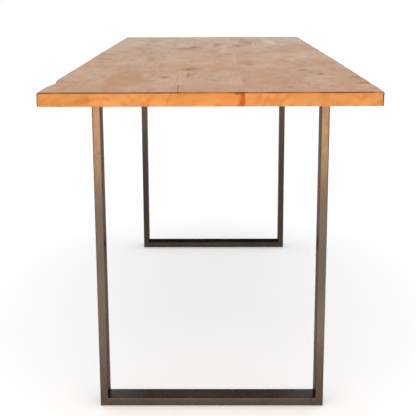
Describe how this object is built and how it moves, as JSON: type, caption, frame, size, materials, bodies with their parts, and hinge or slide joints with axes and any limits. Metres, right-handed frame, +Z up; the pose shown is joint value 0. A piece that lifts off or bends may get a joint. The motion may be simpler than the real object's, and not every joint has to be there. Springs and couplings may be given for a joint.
{
  "type": "bar-height table",
  "caption": "Long bar-height table: a thick natural-edge slab top of glued-up wide boards on open rectangular frames of flat steel tube.",
  "frame": {"origin": "on the floor, straight below the middle of the tabletop", "axes": "+X across the table, to the right as seen from the near end; +Y along the table, from the near end to the far end; +Z up"},
  "size_m": [0.923, 2.64, 1.041],
  "materials": {
    "slab_wood": "satin lacquer over pale orange hardwood with knots and short checks",
    "tenon_wood": "bare planed hardwood",
    "frame_steel": "dark bronze patina under a satin clear coat",
    "fastener_zinc": "bright zinc plate",
    "insert_brass": "turned, unpolished",
    "glide_nylon": "matt black nylon"
  },
  "bodies": {
    "root": {"board_left": "slab_wood", "board_middle": "slab_wood", "board_right": "slab_wood", "tenon_left_1": "tenon_wood", "tenon_left_2": "tenon_wood", "tenon_left_3": "tenon_wood", "tenon_left_4": "tenon_wood", "tenon_left_5": "tenon_wood", "tenon_left_6": "tenon_wood", "tenon_right_1": "tenon_wood", "tenon_right_2": "tenon_wood", "tenon_right_3": "tenon_wood", "tenon_right_4": "tenon_wood", "tenon_right_5": "tenon_wood", "tenon_right_6": "tenon_wood", "near_floor_rail": "frame_steel", "near_left_upright": "frame_steel", "near_right_upright": "frame_steel", "near_top_plate": "frame_steel", "near_left_glide": "glide_nylon", "near_right_glide": "glide_nylon", "near_bolt_1": "fastener_zinc", "near_bolt_2": "fastener_zinc", "near_bolt_3": "fastener_zinc", "near_bolt_4": "fastener_zinc", "near_bolt_5": "fastener_zinc", "near_washer_1": "fastener_zinc", "near_washer_2": "fastener_zinc", "near_washer_3": "fastener_zinc", "near_washer_4": "fastener_zinc", "near_washer_5": "fastener_zinc", "near_insert_1": "insert_brass", "near_insert_2": "insert_brass", "near_insert_3": "insert_brass", "near_insert_4": "insert_brass", "near_insert_5": "insert_brass", "far_floor_rail": "frame_steel", "far_left_upright": "frame_steel", "far_right_upright": "frame_steel", "far_top_plate": "frame_steel", "far_left_glide": "glide_nylon", "far_right_glide": "glide_nylon", "far_bolt_1": "fastener_zinc", "far_bolt_2": "fastener_zinc", "far_bolt_3": "fastener_zinc", "far_bolt_4": "fastener_zinc", "far_bolt_5": "fastener_zinc", "far_washer_1": "fastener_zinc", "far_washer_2": "fastener_zinc", "far_washer_3": "fastener_zinc", "far_washer_4": "fastener_zinc", "far_washer_5": "fastener_zinc", "far_insert_1": "insert_brass", "far_insert_2": "insert_brass", "far_insert_3": "insert_brass", "far_insert_4": "insert_brass", "far_insert_5": "insert_brass"}
  },
  "joints": []
}
